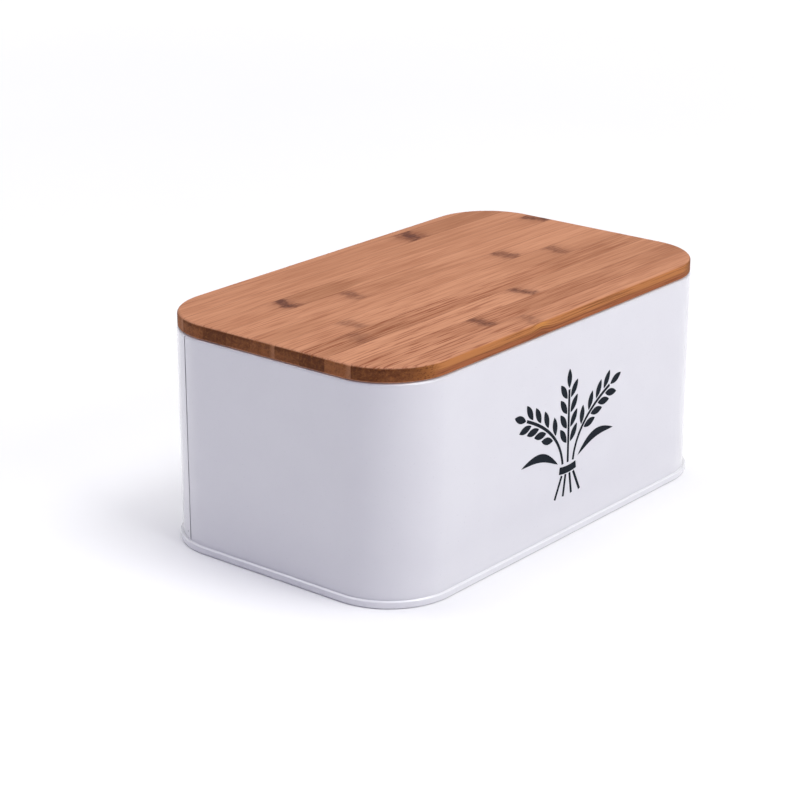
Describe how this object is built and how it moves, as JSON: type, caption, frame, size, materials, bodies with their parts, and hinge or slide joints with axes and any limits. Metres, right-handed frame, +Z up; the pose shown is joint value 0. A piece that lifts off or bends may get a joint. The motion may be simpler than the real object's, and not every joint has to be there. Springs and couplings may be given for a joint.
{
  "type": "bread box",
  "caption": "Low rounded-rectangle box of white coated sheet steel with a curled mouth, a seamed base and a rabbeted bamboo lid that lifts off; keeps bread.",
  "frame": {"origin": "middle of the footprint, on the table that the seam ring stands on", "axes": "+X along the length, +Y to the back, +Z up; the plain front face looks to -Y"},
  "size_m": [0.304, 0.184, 0.135],
  "materials": {
    "coated_steel": "white powder coat, satin",
    "bamboo": "oiled carbonised bamboo, satin"
  },
  "bodies": {
    "box": {"wall": "coated_steel", "base_panel": "coated_steel"},
    "lid": {"lid_stave_01": "bamboo", "lid_stave_02": "bamboo", "lid_stave_03": "bamboo", "lid_stave_04": "bamboo", "lid_stave_05": "bamboo", "lid_stave_06": "bamboo", "lid_stave_07": "bamboo", "lid_stave_08": "bamboo", "lid_stave_09": "bamboo", "lid_stave_10": "bamboo", "lid_stave_11": "bamboo"}
  },
  "joints": [
    {"name": "lid_lift", "type": "slide", "parent": "box", "child": "lid", "axis": [0, 0, 1], "range_m": [0, 0.15]}
  ]
}
